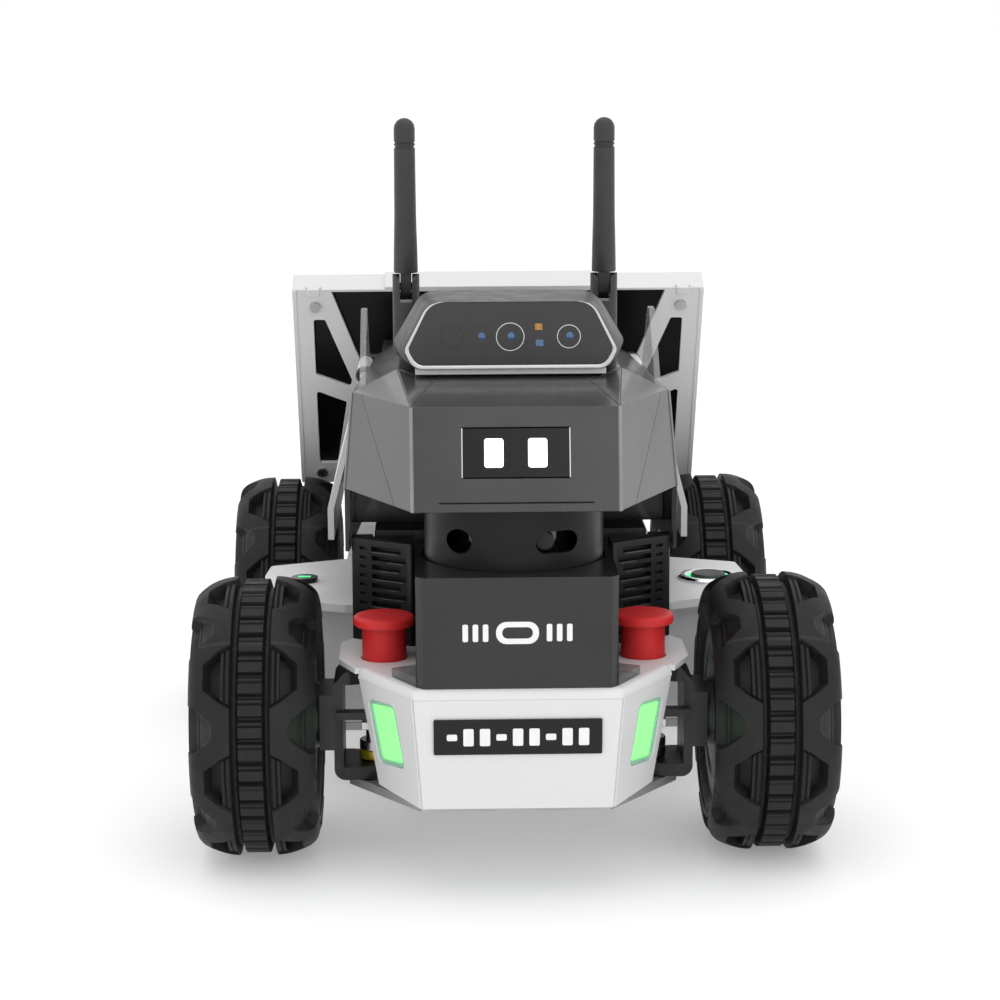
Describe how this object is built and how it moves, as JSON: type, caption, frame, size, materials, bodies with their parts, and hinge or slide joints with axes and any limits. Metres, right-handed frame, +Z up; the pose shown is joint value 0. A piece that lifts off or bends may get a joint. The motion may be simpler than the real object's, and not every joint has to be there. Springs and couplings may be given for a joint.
{
  "type": "four wheel robot car",
  "caption": "Educational robot car: steered front wheels, hub motors, spinning nose scanner, smoked head with a face display, gull-wing doors, folding antennas, tilted screen.",
  "frame": {"origin": "on the ground under the middle of the wheelbase, on the centre plane", "axes": "+X forward to the nose, +Y to the car's left, +Z up"},
  "size_m": [0.322, 0.2198, 0.252],
  "materials": {
    "tyre": "matt moulded rubber",
    "rim": "fine grained",
    "motor_steel": "dark anodised",
    "knuckle_metal": "black anodised",
    "pin_steel": "turned",
    "collar_metal": "satin",
    "base_metal": "grey anodised",
    "tub_metal": "dark anodised",
    "white_paint": "satin powder coat",
    "chrome_ring": "polished",
    "button_cap": "gloss",
    "gauge": "gloss with a green light",
    "light_green": "lit diffuser",
    "plate_black": "gloss",
    "smoked_cover": "smoked, glossy",
    "lidar_black": "gloss",
    "vent_black": "fine grained",
    "latch_red": "gloss",
    "screen_black": "gloss",
    "cabin_black": "satin",
    "camera_silver": "bead blasted",
    "bracket_white": "satin",
    "clear_fin": "clear acrylic",
    "antenna_rubber": "satin",
    "board_green": "solder mask",
    "battery_wrap": "shrink wrap"
  },
  "bodies": {
    "chassis": {"rear_left_hub_motor": "motor_steel", "rear_right_hub_motor": "motor_steel", "kingpins": "pin_steel", "kingpin_collars": "collar_metal", "base_plate": "base_metal", "chassis_tub": "tub_metal", "mid_deck": "white_paint", "power_button_ring": "chrome_ring", "battery_gauge": "gauge", "front_bumper": "white_paint", "rear_bumper": "white_paint", "left_headlight": "light_green", "right_headlight": "light_green", "number_plate": "plate_black", "nose_cover": "smoked_cover", "lidar_base": "lidar_black", "left_vent": "vent_black", "right_vent": "vent_black", "head_shell": "smoked_cover", "face_display": "screen_black", "head_skirt": "smoked_cover", "cabin_body": "cabin_black", "door_pins": "pin_steel", "camera_body": "camera_silver", "camera_window": "screen_black", "camera_bracket": "bracket_white", "left_fin": "clear_fin", "right_fin": "clear_fin", "left_antenna_base": "antenna_rubber", "right_antenna_base": "antenna_rubber", "screen_frame": "white_paint", "screen_back": "screen_black", "touch_screen": "screen_black", "screen_screws": "pin_steel", "battery_pack": "battery_wrap", "computer_board": "board_green", "motor_driver": "board_green"},
    "left_steering": {"left_knuckle": "knuckle_metal", "front_left_hub_motor": "motor_steel"},
    "front_left_wheel": {"front_left_tyre": "tyre", "front_left_rim": "rim"},
    "rear_left_wheel": {"rear_left_tyre": "tyre", "rear_left_rim": "rim"},
    "left_latch_knob": {"left_latch": "latch_red"},
    "left_door_panel": {"left_door": "white_paint"},
    "left_antenna_rod": {"left_antenna": "antenna_rubber"},
    "right_steering": {"right_knuckle": "knuckle_metal", "front_right_hub_motor": "motor_steel"},
    "front_right_wheel": {"front_right_tyre": "tyre", "front_right_rim": "rim"},
    "rear_right_wheel": {"rear_right_tyre": "tyre", "rear_right_rim": "rim"},
    "right_latch_knob": {"right_latch": "latch_red"},
    "right_door_panel": {"right_door": "white_paint"},
    "right_antenna_rod": {"right_antenna": "antenna_rubber"},
    "steering_rod": {"tie_rod": "pin_steel"},
    "lidar_head": {"lidar_rotor": "lidar_black"},
    "power_key": {"power_button": "button_cap"}
  },
  "joints": [
    {"name": "left_steer", "type": "hinge", "parent": "chassis", "child": "left_steering", "pos_m": [0.1, 0.0485, 0.048], "axis": [0, 0, 1], "range_deg": [-22, 22]},
    {"name": "front_left_spin", "type": "hinge", "parent": "left_steering", "child": "front_left_wheel", "pos_m": [0.1, 0.0886, 0.0485], "axis": [0, 1, 0], "continuous": true},
    {"name": "rear_left_spin", "type": "hinge", "parent": "chassis", "child": "rear_left_wheel", "pos_m": [-0.1, 0.0886, 0.0485], "axis": [0, 1, 0], "continuous": true},
    {"name": "left_latch_slide", "type": "slide", "parent": "chassis", "child": "left_latch_knob", "axis": [0, 0, 1], "range_m": [-0.003, 0]},
    {"name": "left_door_hinge", "type": "hinge", "parent": "chassis", "child": "left_door_panel", "pos_m": [-0.053, 0.0545, 0.15], "axis": [1, 0, 0], "range_deg": [0, 80]},
    {"name": "left_antenna_fold", "type": "hinge", "parent": "chassis", "child": "left_antenna_rod", "pos_m": [0.018, 0.0368, 0.19], "axis": [0, 1, 0], "range_deg": [-90, 0]},
    {"name": "right_steer", "type": "hinge", "parent": "chassis", "child": "right_steering", "pos_m": [0.1, -0.0485, 0.048], "axis": [0, 0, 1], "range_deg": [-22, 22]},
    {"name": "front_right_spin", "type": "hinge", "parent": "right_steering", "child": "front_right_wheel", "pos_m": [0.1, -0.0886, 0.0485], "axis": [0, 1, 0], "continuous": true},
    {"name": "rear_right_spin", "type": "hinge", "parent": "chassis", "child": "rear_right_wheel", "pos_m": [-0.1, -0.0886, 0.0485], "axis": [0, 1, 0], "continuous": true},
    {"name": "right_latch_slide", "type": "slide", "parent": "chassis", "child": "right_latch_knob", "axis": [0, 0, 1], "range_m": [-0.003, 0]},
    {"name": "right_door_hinge", "type": "hinge", "parent": "chassis", "child": "right_door_panel", "pos_m": [-0.053, -0.0545, 0.15], "axis": [-1, 0, 0], "range_deg": [0, 80]},
    {"name": "right_antenna_fold", "type": "hinge", "parent": "chassis", "child": "right_antenna_rod", "pos_m": [0.018, -0.0368, 0.19], "axis": [0, 1, 0], "range_deg": [-90, 0]},
    {"name": "tie_rod_shift", "type": "slide", "parent": "chassis", "child": "steering_rod", "axis": [0, 1, 0], "range_m": [-0.0047, 0.0047]},
    {"name": "lidar_spin", "type": "hinge", "parent": "chassis", "child": "lidar_head", "pos_m": [0.12, 0, 0.12], "axis": [0, 0, 1], "continuous": true},
    {"name": "power_press", "type": "slide", "parent": "chassis", "child": "power_key", "axis": [0, 0, 1], "range_m": [-0.0015, 0], "stiffness_N_per_m": 400}
  ],
  "couplings": [
    {"joint": "right_steer", "follows": "left_steer", "ratio": 1},
    {"joint": "tie_rod_shift", "follows": "left_steer", "m_per_rad": 0.0118}
  ]
}
